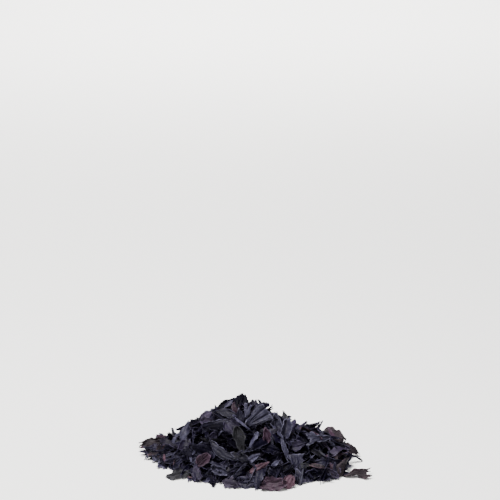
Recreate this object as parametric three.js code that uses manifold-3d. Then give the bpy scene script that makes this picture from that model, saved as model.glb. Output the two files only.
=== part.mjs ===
// A loose heap of dried red seaweed flakes, as tipped out on a table.
// Units are millimetres. +X runs to the right of the heap as seen from the front, +Y to the back and +Z up.
// The origin is in the flat underside, below the middle of the heap.
import * as THREE from "three";
import Module from "manifold-3d";

const wasm = await Module();
wasm.setup();
const { Manifold, Mesh } = wasm;

// The heap is a smooth blend of mounds. Each has its summit's place, its height and its two half widths.
const MOUNDS = [
  { x: -5.6, y: 0.5, height: 27.3, alongX: 37.8, alongY: 27.6 },
  { x: -26.5, y: 1.5, height: 10.4, alongX: 26.5, alongY: 17.5 },
  { x: 24.4, y: -0.5, height: 16, alongX: 24.6, alongY: 22.2 },
  { x: -2, y: -8.8, height: 11.8, alongX: 40.5, alongY: 21.6 },
];
const SKEW = 0.06; // the heap's right end lies nearer the front than its left end
const FLANK = 1.45; // 1 is a cone's straight flank, and more is fuller
const BLEND = 5;
const ALONG_X = 54; // about the half widths of the whole heap
const ALONG_Y = 34;

// The packed middle of the heap lies this far inside the mounds, and flakes stand out of it.
const CORE_DEPTH = 1.2;
const CORE_SECTORS = 30;
const CORE_RINGS = [0.13, 0.27, 0.41, 0.55, 0.69, 0.82, 0.93];
const CORE_CRUMPLE = 1;
const RIM_HEIGHT = 2.2; // the core ends where the mounds are this low, and flakes lie on the table round it

const FLAKE_THICKNESS = 0.65;
const CLEARANCE = 0.3; // between a single flake and what it lies in
const TABLE_GAP = 0.1; // the least height of a flake over the table
const SIGHT_ELEVATION = 26; // degrees above the table from which the single flakes are laid out
const CREST_MISS = 6; // a line of sight that passes this near over the heap still finds its crest
const CREST_RISE = 2.2; // the most that a flake found so stands over the mounds
const DEGREE = Math.PI / 180;

const BED_FLAKES = 96;
const RIM_FLAKES = 26;
const RIM_SIZE = 0.85; // the size of the flakes on the rim beside those of the bed
const HELD = 0.06; // the least share of a bed flake that is inside the core
const BED_SPACING = 3.8; // a bed flake keeps this far from the middle of a single flake
const GAP_FROM = 42; // at the front of the right end the bed stops here, and bare table shows

// A seeded draw of numbers between low and high.
function seeded(seed) {
  let drawn = seed;
  return (low, high) => {
    drawn = (drawn * 1664525 + 1013904223) % 4294967296;
    return low + (high - low) * (drawn / 4294967296);
  };
}

// Colours of the dried weed, each with its roughness.
const FINISHES = {
  slate: [0x3b3845, 0.55],
  pale: [0x6e6b78, 0.5],
  black: [0x15131b, 0.6],
  purple: [0x3a3043, 0.55],
  mauve: [0x5a4859, 0.55],
  burgundy: [0x4a2a38, 0.5],
  rose: [0x7a4a5a, 0.5],
  brown: [0x4c4240, 0.6],
  olive: [0x494a48, 0.6],
};

// The usual flake. A single flake gives only what differs.
const USUAL = {
  outline: "blade", facing: 1, lean: 6, roll: 0, out: 0.9, bend: -25, twist: 14, cup: 0.2, sway: 0,
  torn: 0.16, notch: 0, ripple: 0.4, pleat: 0, finish: "slate", steps: [2, 4],
};

// The single flakes that show best, laid out as seen from the front. Across and up place the middle of each.
// Turn is the way its length points, anticlockwise from the right. Out is how far it stands off the slope.
// Facing is 0 for a flake that lies flat on the slope, and larger the more it faces the front.
const SINGLES = [
  {
    name: "dark_peak_flake", across: -5.8, up: 28.6, turn: 80, length: 9, width: 6.5, roll: 15,
    finish: "black",
  },
  {
    name: "ridge_flake", across: -12.9, up: 27.4, turn: 32, length: 10, width: 4, roll: 30,
    finish: "black",
  },
  {
    name: "dark_crown_flake", outline: "fan", across: 3.6, up: 27.2, turn: 62, length: 7.5, width: 6,
    notch: 0.35, torn: 0.3, finish: "black",
  },
  {
    name: "pleated_fan", outline: "fan", across: 1, up: 18.8, turn: 38, length: 12.5, width: 10.5,
    out: 2.2, pleat: 0.6, torn: 0.08, bend: -14, twist: 0, cup: 0.05, ripple: 0.2, finish: "pale",
    steps: [6, 4],
  },
  {
    name: "forked_flake", outline: "fan", across: -3.3, up: 22, turn: 82, length: 7, width: 4,
    notch: 0.45, out: 2, finish: "pale", steps: [4, 3],
  },
  {
    name: "oval_flake", outline: "leaf", across: -6.6, up: 19.6, turn: 96, length: 7, width: 3.4,
    out: 1.6,
  },
  {
    name: "pale_sliver", outline: "leaf", across: -11.7, up: 25.6, turn: 55, length: 5.5, width: 2.2,
    out: 1.4, finish: "pale",
  },
  { name: "mauve_chip", across: -8.6, up: 24, turn: 110, length: 6, width: 4, finish: "mauve" },
  {
    name: "crossing_strand", outline: "strip", across: -5.6, up: 16.2, turn: -40, length: 9, width: 1.2,
    out: 2.2, finish: "pale",
  },
  { name: "streaked_flake", across: -13, up: 21.4, turn: -25, length: 10, width: 4.2, roll: -20 },
  { name: "brow_flake", across: -18, up: 15.4, turn: 4, length: 14, width: 5, roll: 34, out: 2 },
  { name: "chest_flake", across: -10, up: 14.6, turn: -50, length: 9, width: 7, finish: "purple" },
  {
    name: "dark_splinter", outline: "strip", across: -33.2, up: 17.4, turn: -8, length: 9, width: 1.8,
    roll: 50, out: 1.6, finish: "black",
  },
  {
    name: "mauve_tuft", across: -23.6, up: 20, turn: 30, length: 8, width: 5, ripple: 0.8,
    finish: "mauve",
  },
  {
    name: "mauve_fold", across: -21.6, up: 16.9, turn: -24, length: 7, width: 4.4, ripple: 0.7, cup: 0.6,
    finish: "mauve",
  },
  {
    name: "arching_flake", across: -33, up: 11.4, turn: 92, length: 13, width: 6, sway: -0.5, out: 2.8,
    cup: -0.4, finish: "pale", pleat: 0.25, steps: [4, 4],
  },
  {
    name: "hollow_flake", outline: "leaf", across: -19.8, up: 9.6, turn: 60, length: 6.5, width: 5,
    out: -0.4, finish: "purple",
  },
  {
    name: "left_tip_flake", across: -49.2, up: 8.8, turn: 190, length: 11, width: 5.5, torn: 0.3,
    finish: "brown",
  },
  {
    name: "left_back_flake", across: -44.2, up: 10.6, turn: 128, length: 8, width: 4.6, torn: 0.25,
    finish: "burgundy",
  },
  {
    name: "left_spur", outline: "leaf", across: -48, up: 5.2, turn: 192, length: 7.5, width: 3.2, torn: 0.3,
    finish: "purple",
  },
  {
    name: "pink_sliver", outline: "leaf", across: -42.3, up: -0.5, turn: 92, length: 5, width: 1.7,
    out: 1.6, finish: "rose",
  },
  { name: "left_panel", across: -37, up: -1.6, turn: 20, length: 8, width: 6, out: 1.2 },
  {
    name: "left_edge_splinter", outline: "strip", across: -42.8, up: -3.4, turn: -58, length: 7.5,
    width: 1.3, finish: "black",
  },
  {
    name: "spiked_left_flake", facing: 0.5, across: -35.6, up: -8.6, turn: 8, length: 11, width: 4.6,
    torn: 0.34, finish: "brown",
  },
  {
    name: "burgundy_leaf", across: -23.2, up: -0.4, turn: 42, length: 7, width: 5.4, out: 2, cup: 0.5,
    finish: "burgundy",
  },
  {
    name: "grey_stick", outline: "strip", across: -26.4, up: 5, turn: 52, length: 7.5, width: 1.2,
    out: 1.6, finish: "pale",
  },
  { name: "front_left_flake", across: -26.6, up: -8, turn: 100, length: 7, width: 4.2, finish: "mauve" },
  {
    name: "ribbed_leaf", outline: "leaf", across: -6.5, up: 8.4, turn: -74, length: 13, width: 5.2,
    cup: 0.8, out: 2.4, bend: -30, finish: "olive", pleat: 0.35, steps: [4, 4],
  },
  {
    name: "v_leaf", outline: "leaf", across: -0.6, up: 8.2, turn: -116, length: 10, width: 2.8, roll: 40,
    out: 2.4, finish: "pale",
  },
  {
    name: "crescent_leaf", outline: "leaf", across: -14.6, up: 2.4, turn: -34, length: 16, width: 4.4,
    sway: 0.42, out: 2, finish: "pale", pleat: 0.2,
  },
  {
    name: "pale_leaf", outline: "leaf", across: -0.7, up: 0.2, turn: 32, length: 7.5, width: 3, out: 2,
    finish: "pale",
  },
  {
    name: "rose_leaf", outline: "leaf", across: 1.8, up: -4.2, turn: 27, length: 10.5, width: 3.4, out: 2,
    finish: "rose",
  },
  {
    name: "long_stick", outline: "strip", across: -5.6, up: -4.2, turn: 46, length: 10, width: 1.2,
    out: 1.8,
  },
  {
    name: "front_slate_leaf", across: -2.8, up: -10.8, turn: 2, length: 13, width: 6, pleat: 0.25,
    steps: [4, 4],
  },
  {
    name: "front_spur", facing: 0.5, across: -10.8, up: -12.6, turn: -20, length: 8, width: 5, torn: 0.32,
    finish: "mauve",
  },
  {
    name: "front_red_leaf", across: 8.8, up: -13.2, turn: 5, length: 11, width: 6.4, torn: 0.24,
    finish: "burgundy",
  },
  {
    name: "front_rose_leaf", facing: 0.6, across: 16, up: -12.8, turn: 62, length: 7, width: 5.4,
    finish: "rose",
  },
  {
    name: "bright_chip", outline: "leaf", across: 9.8, up: -2.2, turn: 35, length: 4.5, width: 2, out: 2,
    finish: "pale",
  },
  { name: "green_black_leaf", across: 7.4, up: 4.6, turn: -12, length: 8, width: 5, finish: "black" },
  {
    name: "curled_burgundy", outline: "leaf", across: 5.4, up: 10.6, turn: 100, length: 6.5, width: 3.8,
    cup: 1, out: 2, finish: "burgundy",
  },
  {
    name: "frizzled_flake", across: -16, up: -5.6, turn: -20, length: 8.5, width: 4, ripple: 0.9,
    cup: 0.5, out: 1.6, finish: "pale",
  },
  {
    name: "s_blade", outline: "strip", across: 14, up: 4, turn: -76, length: 12.5, width: 2.4, sway: 0.2,
    out: 2.4, finish: "pale",
  },
  {
    name: "tall_dusty_flake", across: 14.6, up: 20.4, turn: 84, length: 8, width: 4, torn: 0.22,
    out: 2.4, finish: "olive",
  },
  {
    name: "folded_flake", across: 14.6, up: 13.6, turn: 80, length: 10, width: 5, cup: 0.7, out: 1.8,
    finish: "pale", pleat: 0.3, steps: [4, 4],
  },
  {
    name: "purple_streak", outline: "leaf", across: 18, up: 15, turn: 68, length: 9.5, width: 3, roll: 18,
    out: 2.2, finish: "purple",
  },
  {
    name: "purple_shred", outline: "leaf", across: 22.4, up: 14.6, turn: 60, length: 9, width: 3,
    roll: -14, out: 2.2, finish: "purple",
  },
  {
    name: "antler_flake", outline: "fan", across: 29.6, up: 9, turn: 190, length: 12, width: 6.4,
    notch: 0.4, torn: 0.34, out: 2.6, finish: "pale", steps: [4, 4],
  },
  {
    name: "red_tipped_flake", across: 38, up: 11.8, turn: -14, length: 11, width: 7.4, torn: 0.28,
    out: 2.6, finish: "brown",
  },
  {
    name: "dark_oval_leaf", outline: "leaf", across: 20.2, up: 6.2, turn: 15, length: 7.6, width: 5.4,
    finish: "purple",
  },
  {
    name: "wedge_flake", outline: "wedge", across: 20, up: -3, turn: -82, length: 11, width: 9,
    out: 2, pleat: 0.3, steps: [4, 4],
  },
  {
    name: "green_chip", outline: "leaf", across: 23, up: -3.2, turn: 2, length: 6, width: 2.2, out: 1.4,
    finish: "olive",
  },
  {
    name: "curled_ring", outline: "strip", across: 31, up: -1.8, turn: 10, length: 10, width: 2.6,
    bend: -210, twist: 0, out: 2.4,
  },
  {
    name: "hooked_strand", outline: "strip", across: 47, up: 0.6, turn: -8, length: 9.5, width: 1.5,
    sway: -0.3, out: 2, finish: "black",
  },
  {
    name: "right_tip_flake", outline: "fan", facing: 0.25, across: 47.8, up: -8.2, turn: 6, length: 11.5,
    width: 6, torn: 0.36, notch: 0.2, out: 0.2, finish: "brown",
  },
  { name: "mauve_low_flake", across: 35.4, up: -6.6, turn: -22, length: 8.5, width: 3.6, finish: "mauve" },
  {
    name: "right_shoulder_flake", across: 46.4, up: 5, turn: -35, length: 8, width: 4.6, torn: 0.26,
    finish: "brown",
  },
  {
    name: "upright_flake", across: 9.8, up: 16, turn: 97, length: 10, width: 4.6, cup: 0.6, out: 2,
    finish: "pale",
  },
  {
    name: "slanting_strand", outline: "strip", across: 9.8, up: 12.7, turn: -52, length: 9, width: 1.2,
    out: 3, finish: "pale",
  },
];

function heapHeight(x, y) {
  let sum = 0;
  for (const m of MOUNDS) {
    const reach = Math.hypot((x - m.x) / m.alongX, (y + SKEW * x - m.y) / m.alongY);
    sum += Math.max(0, m.height * (1 - reach ** FLANK)) ** BLEND;
  }
  return sum ** (1 / BLEND);
}

function heapNormal(x, y) {
  const step = 1.5;
  const slopeX = (heapHeight(x + step, y) - heapHeight(x - step, y)) / (2 * step);
  const slopeY = (heapHeight(x, y + step) - heapHeight(x, y - step)) / (2 * step);
  return new THREE.Vector3(-slopeX, -slopeY, 1).normalize();
}

// Even turns round the heap, wider spaced along its short sides: the angle for a full turn's share.
function heapAngle(share) {
  return Math.atan2(ALONG_Y * Math.sin(2 * Math.PI * share), ALONG_X * Math.cos(2 * Math.PI * share));
}

// How far the packed middle reaches from the heap's middle in one direction.
function heapReach(angle) {
  let near = 5;
  let far = 80;
  for (let i = 0; i < 30; i++) {
    const middle = (near + far) / 2;
    if (heapHeight(middle * Math.cos(angle), middle * Math.sin(angle)) > RIM_HEIGHT) near = middle;
    else far = middle;
  }
  return near;
}

// Half widths along a flake, from its root at 0 to its tip at 1, as a share of its full half width.
const OUTLINES = {
  blade: (v) => 0.3 + 0.7 * Math.sin(Math.PI * v ** 0.85) ** 0.8,
  leaf: (v) => 0.12 + 0.88 * Math.sin(Math.PI * v ** 0.8) ** 0.9,
  strip: (v) => 0.5 + 0.5 * Math.sin(Math.PI * v),
  fan: (v) => 0.14 + 0.86 * v ** 0.8,
  wedge: (v) => 1 - 0.82 * v ** 0.7,
};

// A wave between -1 and 1 that never repeats over a flake, for torn edges and crumples.
function wander(t, phase) {
  return 0.6 * Math.sin(7.3 * t + phase) + 0.4 * Math.sin(16.1 * t + 2.3 * phase);
}

// The middle sheet of a flake: a point for u from -1 to 1 across it and v from 0 to 1 along it.
function sheetPoint(f, u, v) {
  const side = Math.sign(u);
  const torn = 1 + f.torn * wander(v * 1.3, f.phase + 2.1 * side);
  const halfWidth = (f.width / 2) * OUTLINES[f.outline](v) * (side === 0 ? 1 : torn);
  const reach = 1 + f.torn * 0.7 * wander(u * 0.9, f.phase + 5) - f.notch * Math.exp(-((u / 0.35) ** 2));
  const along = (v - 0.5) * f.length * (v > 0.5 ? reach : 1);
  const across = u * halfWidth + f.sway * f.length * (v - 0.5) ** 2;
  const ripple = f.ripple * Math.sin(5.2 * v + f.phase + 1.4 * u) * (0.35 + 0.65 * u * u);
  const pleat = f.pleat * Math.cos(Math.PI * 3 * u) * v;
  const rise = f.cup * u * u * (f.width / 2) + ripple + pleat;
  const turn = f.twist * DEGREE * (v - 0.5);
  const turned = across * Math.cos(turn) - rise * Math.sin(turn);
  const lifted = across * Math.sin(turn) + rise * Math.cos(turn);
  const angle = (f.bend * DEGREE * along) / f.length;
  const radius = f.bend === 0 ? 0 : f.length / (f.bend * DEGREE);
  const arcAlong = f.bend === 0 ? along : (radius - lifted) * Math.sin(angle);
  const arcUp = f.bend === 0 ? lifted : radius - (radius - lifted) * Math.cos(angle);
  return f.middle
    .clone()
    .addScaledVector(f.axis, arcAlong)
    .addScaledVector(f.side, turned)
    .addScaledVector(f.face, arcUp);
}

// A closed thin plate on the flake's sheet, with both faces split into the same triangles.
// With room above 0 it is the space that the flake needs, larger by room all round.
function flakeSolid(f, acrossSteps, alongSteps, room = 0) {
  const row = acrossSteps + 1;
  const at = (i, j) => j * row + i;
  const sheet = [];
  for (let j = 0; j <= alongSteps; j++)
    for (let i = 0; i <= acrossSteps; i++)
      sheet.push(sheetPoint(f, (2 * i) / acrossSteps - 1, j / alongSteps));
  const quads = [];
  for (let j = 0; j < alongSteps; j++)
    for (let i = 0; i < acrossSteps; i++)
      quads.push([at(i, j), at(i + 1, j), at(i + 1, j + 1), at(i, j + 1)]);
  const normals = sheet.map(() => new THREE.Vector3());
  for (const [a, b, c, d] of quads) {
    const n = sheet[c].clone().sub(sheet[a]).cross(sheet[d].clone().sub(sheet[b]));
    for (const k of [a, b, c, d]) normals[k].add(n);
  }
  for (const n of normals) n.normalize();
  const half = FLAKE_THICKNESS / 2;
  const lowest = Math.min(...sheet.map((p, k) => p.z - half * Math.abs(normals[k].z)));
  const raise = Math.max(0, TABLE_GAP - lowest);
  const widened = sheet.map((p) => p.clone());
  const widen = (edge, inner) => {
    const outward = sheet[edge].clone().sub(sheet[inner]).normalize();
    widened[edge].addScaledVector(outward, room);
  };
  for (let j = 0; j <= alongSteps; j++) {
    widen(at(0, j), at(1, j));
    widen(at(acrossSteps, j), at(acrossSteps - 1, j));
  }
  for (let i = 0; i <= acrossSteps; i++) {
    widen(at(i, 0), at(i, 1));
    widen(at(i, alongSteps), at(i, alongSteps - 1));
  }
  const points = [];
  for (const way of [1, -1])
    widened.forEach((p, k) => points.push(p.clone().addScaledVector(normals[k], way * (half + room))));
  const under = sheet.length;
  const faces = [];
  quads.forEach(([a, b, c, d], k) => {
    const split = k % 2 ? [[a, b, c], [a, c, d]] : [[a, b, d], [b, c, d]];
    for (const [p, q, r] of split) faces.push([p, q, r], [p + under, r + under, q + under]);
  });
  const rim = [];
  for (let i = 0; i < acrossSteps; i++) rim.push([at(i, 0), at(i + 1, 0)]);
  for (let j = 0; j < alongSteps; j++) rim.push([at(acrossSteps, j), at(acrossSteps, j + 1)]);
  for (let i = acrossSteps; i > 0; i--) rim.push([at(i, alongSteps), at(i - 1, alongSteps)]);
  for (let j = alongSteps; j > 0; j--) rim.push([at(0, j), at(0, j - 1)]);
  for (const [a, b] of rim) faces.push([a, a + under, b], [b, a + under, b + under]);
  return solidFrom(points.map((p) => [p.x, p.y, p.z + raise]), faces);
}

function solidFrom(points, faces) {
  const vertProperties = new Float32Array(points.flat());
  const triVerts = new Uint32Array(faces.flat());
  return new Manifold(new Mesh({ numProp: 3, vertProperties, triVerts }));
}

// The packed middle: crumpled rings of points under the mounds, on a flat base.
function coreSolid() {
  const draw = seeded(77);
  const points = [[0, 0, heapHeight(0, 0) - CORE_DEPTH]];
  const shares = [...CORE_RINGS, 1];
  for (const share of shares)
    for (let k = 0; k < CORE_SECTORS; k++) {
      const rim = share === 1;
      const angle = heapAngle((k + (rim ? 0 : draw(-0.35, 0.35))) / CORE_SECTORS);
      const r = (share + (rim ? 0 : draw(-0.04, 0.04))) * heapReach(angle);
      const x = r * Math.cos(angle);
      const y = r * Math.sin(angle);
      const sunk = CORE_DEPTH + draw(-CORE_CRUMPLE, CORE_CRUMPLE);
      points.push([x, y, rim ? 0 : Math.max(0.4, heapHeight(x, y) - sunk)]);
    }
  const at = (ring, k) => 1 + ring * CORE_SECTORS + (k % CORE_SECTORS);
  const bottom = points.push([0, 0, 0]) - 1;
  const last = shares.length - 1;
  const faces = [];
  for (let k = 0; k < CORE_SECTORS; k++) {
    faces.push([0, at(0, k), at(0, k + 1)], [bottom, at(last, k + 1), at(last, k)]);
    for (let ring = 0; ring < last; ring++) {
      faces.push([at(ring, k), at(ring + 1, k), at(ring + 1, k + 1)]);
      faces.push([at(ring, k), at(ring + 1, k + 1), at(ring, k + 1)]);
    }
  }
  return solidFrom(points, faces);
}

// A flake rooted in the slope at plan point x, y. Its root is sunk and its tip stands out by lift degrees.
function rootedFlake(x, y, shape) {
  const face = heapNormal(x, y);
  const axis = new THREE.Vector3(Math.cos(shape.heading), Math.sin(shape.heading), 0);
  axis.addScaledVector(face, -axis.dot(face)).normalize();
  const side = face.clone().cross(axis);
  axis.applyAxisAngle(side, -shape.lift * DEGREE);
  face.applyAxisAngle(side, -shape.lift * DEGREE);
  side.applyAxisAngle(axis, shape.roll * DEGREE);
  face.applyAxisAngle(axis, shape.roll * DEGREE);
  const out = (Math.sin(shape.lift * DEGREE) * shape.length) / 2 - shape.sunk;
  const middle = new THREE.Vector3(x, y, heapHeight(x, y)).addScaledVector(heapNormal(x, y), out);
  return { ...shape, middle, axis, side, face };
}

// Even plan positions over the heap: a sunflower's spiral, stretched to the heap's reach.
function spiralPlace(i, count) {
  const angle = heapAngle((i * (3 - Math.sqrt(5))) / 2);
  const r = Math.sqrt((i + 0.5) / count) * heapReach(angle);
  return [r * Math.cos(angle), r * Math.sin(angle)];
}

// Even places round the core's edge.
function rimPlace(i) {
  const angle = heapAngle((i + 0.5) / RIM_FLAKES);
  const r = 0.99 * heapReach(angle);
  return [r * Math.cos(angle), r * Math.sin(angle)];
}

// The place seen from the front at across and up: on the heap, on its crest or on the table before it.
function seenPlace(across, up) {
  const right = new THREE.Vector3(1, 0, 0);
  const sight = SIGHT_ELEVATION * DEGREE;
  const upward = new THREE.Vector3(0, Math.sin(sight), Math.cos(sight));
  const toViewer = right.clone().cross(upward);
  const place = right.clone().multiplyScalar(across);
  place.addScaledVector(upward, up).addScaledVector(toViewer, 80);
  let crest = null;
  let depth = -CREST_MISS;
  while (place.z > 0) {
    const height = heapHeight(place.x, place.y);
    if (height > CORE_DEPTH && height - place.z > depth) {
      crest = place.clone();
      crest.z = Math.min(crest.z, height + CREST_RISE);
      depth = height - place.z;
    }
    if (depth > 0) break;
    place.addScaledVector(toViewer, -0.25);
  }
  return { place: crest ?? place, right, upward, toViewer };
}

function singleFlake(given, order) {
  const f = { ...USUAL, ...given, phase: 1.7 * order };
  const { place, right, upward, toViewer } = seenPlace(f.across, f.up);
  const slope = heapNormal(place.x, place.y);
  const face = slope.clone().addScaledVector(toViewer, f.facing).normalize();
  const turn = f.turn * DEGREE;
  const axis = right.clone().multiplyScalar(Math.cos(turn)).addScaledVector(upward, Math.sin(turn));
  axis.addScaledVector(face, -axis.dot(face)).normalize();
  const side = face.clone().cross(axis);
  for (const v of [axis, face]) v.applyAxisAngle(side, -f.lean * DEGREE);
  for (const v of [side, face]) v.applyAxisAngle(axis, f.roll * DEGREE);
  const middle = place.addScaledVector(slope, f.out / 2).addScaledVector(toViewer, f.out / 2);
  return { ...f, axis, side, face, middle };
}

// The flakes of the bed, each sunk until its root holds in the core.
function bedFlakes(singles, core) {
  const draw = seeded(20251);
  const made = [];
  const forms = ["blade", "leaf", "fan", "blade", "leaf"];
  for (let i = 0; i < BED_FLAKES + RIM_FLAKES; i++) {
    const onRim = i >= BED_FLAKES;
    const [x, y] = onRim ? rimPlace(i - BED_FLAKES) : spiralPlace(i, BED_FLAKES);
    const shape = {
      outline: forms[i % forms.length],
      length: draw(9, 15) * (onRim ? RIM_SIZE : 1),
      width: draw(3.8, 7) * (onRim ? RIM_SIZE : 1),
      heading: Math.atan2(y, x) + draw(-1.9, 1.9) * (onRim ? 0.5 : 1),
      lift: draw(6, 32) * (onRim ? 0.4 : 1),
      roll: draw(-26, 26),
      sunk: draw(1.2, 2),
      bend: draw(-60, 30),
      twist: draw(-40, 40),
      cup: draw(-0.35, 0.45),
      sway: draw(-0.35, 0.35),
      torn: draw(0.12, 0.3),
      notch: 0,
      ripple: draw(0.2, 0.7),
      pleat: 0,
      phase: draw(0, 6),
    };
    const flake = rootedFlake(x, y, shape);
    const spacing = onRim ? BED_SPACING / 2 : BED_SPACING;
    if (singles.some((f) => f.middle.distanceTo(flake.middle) < spacing)) continue;
    if (x > GAP_FROM && y < 2) continue;
    let solid = flakeSolid(flake, 2, 2);
    for (let k = 0; k < 8 && core.intersect(solid).volume() < HELD * solid.volume(); k++) {
      flake.middle.addScaledVector(heapNormal(x, y), -0.5);
      solid = flakeSolid(flake, 2, 2);
    }
    made.push(solid);
  }
  return made;
}

function largestBody(solid) {
  return solid.decompose().sort((a, b) => b.volume() - a.volume())[0];
}

function meshOf(name, solid, finish) {
  const [color, roughness] = FINISHES[finish];
  const m = solid.getMesh();
  const geometry = new THREE.BufferGeometry();
  geometry.setAttribute("position", new THREE.BufferAttribute(new Float32Array(m.vertProperties), 3));
  geometry.setIndex(new THREE.BufferAttribute(new Uint32Array(m.triVerts), 1));
  geometry.computeVertexNormals();
  const mesh = new THREE.Mesh(geometry, new THREE.MeshStandardMaterial({ color, roughness }));
  mesh.name = name;
  return mesh;
}

const heap = new THREE.Group();
const singles = SINGLES.map(singleFlake);

// A single flake that would cross an earlier one is fused into the bed instead.
const fused = [];
const rooms = [];
for (const f of singles) {
  const solid = flakeSolid(f, ...f.steps);
  const crosses = rooms.some((room) => !room.intersect(solid).isEmpty());
  if (crosses) {
    fused.push(solid);
    continue;
  }
  rooms.push(flakeSolid(f, ...f.steps, CLEARANCE));
  heap.add(meshOf(f.name, solid, f.finish));
}

const core = coreSolid();
const packed = Manifold.union([core, ...bedFlakes(singles, core), ...fused]);
const bed = largestBody(packed.subtract(Manifold.union(rooms)));
heap.add(meshOf("flake_bed", bed, "slate"));

export default heap;
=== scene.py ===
"""A loose heap of dried red seaweed flakes on a pale table.

Lengths in the tables and in the flake's own maths are millimetres. Blender's are metres.
The heap's mounds, the seeded draws and the sheet of each flake are those of the solids, drawn finer here.
"""
import math

import bpy
import numpy as np
from mathutils import Matrix, Vector, noise


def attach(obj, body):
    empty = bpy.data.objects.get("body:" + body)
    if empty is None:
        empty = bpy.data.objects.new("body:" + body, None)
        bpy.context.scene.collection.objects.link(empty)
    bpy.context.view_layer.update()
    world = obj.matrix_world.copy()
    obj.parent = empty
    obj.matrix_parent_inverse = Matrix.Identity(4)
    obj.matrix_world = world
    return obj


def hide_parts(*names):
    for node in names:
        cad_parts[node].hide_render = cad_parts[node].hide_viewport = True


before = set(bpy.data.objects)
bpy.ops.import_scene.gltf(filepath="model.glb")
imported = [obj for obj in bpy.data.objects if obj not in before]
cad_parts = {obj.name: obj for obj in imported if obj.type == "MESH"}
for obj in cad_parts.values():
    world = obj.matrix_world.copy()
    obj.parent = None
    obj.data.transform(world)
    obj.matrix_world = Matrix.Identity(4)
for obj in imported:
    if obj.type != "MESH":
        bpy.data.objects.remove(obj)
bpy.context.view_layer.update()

MM = 0.001

# The heap: summit place, height and half widths of each mound
MOUNDS = [
    dict(x=-5.6, y=0.5, height=27.3, along_x=37.8, along_y=27.6),
    dict(x=-26.5, y=1.5, height=10.4, along_x=26.5, along_y=17.5),
    dict(x=24.4, y=-0.5, height=16, along_x=24.6, along_y=22.2),
    dict(x=-2, y=-8.8, height=11.8, along_x=40.5, along_y=21.6),
]
SKEW = 0.06  # how far the ridge turns out of line
FLANK = 1.45  # 1 is the straight flank of a cone, 2 the round one of a dome
BLEND = 5  # the higher, the sharper the mounds meet
ALONG_X = 54
ALONG_Y = 34
CORE_DEPTH = 1.2  # from the heap's surface down to its packed middle
RIM_HEIGHT = 2.2
TABLE_GAP = 0.1

# The view from the front that the single flakes are placed by
SIGHT_ELEVATION = math.radians(26)
SIGHT_START = 80
SIGHT_STEP = 0.25
CREST_MISS = 6  # a line of sight that passes this close over the crest still meets it
CREST_RISE = 2.2

# The many flakes
BED_FLAKES = 96
RIM_FLAKES = 26
RIM_SIZE = 0.85
HELD = 0.06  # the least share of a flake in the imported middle
BED_SPACING = 3.8  # at least, from the middle of a bed flake to that of a single one
GRAIN_SIZE = 13
GRAIN_TURN = 2.2
GAP_FROM = 42
GAP_BEFORE = 2
ENDS_FROM = 38  # from here on the heap's ends are browner and redder

# The usual single flake. The table below gives only what differs.
USUAL = dict(
    outline="blade", facing=1, lean=6, roll=0, out=0.9, bend=-25, twist=14, cup=0.2, sway=0,
    torn=0.16, notch=0, ripple=0.4, pleat=0, finish="slate", tone=1,
)

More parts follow.
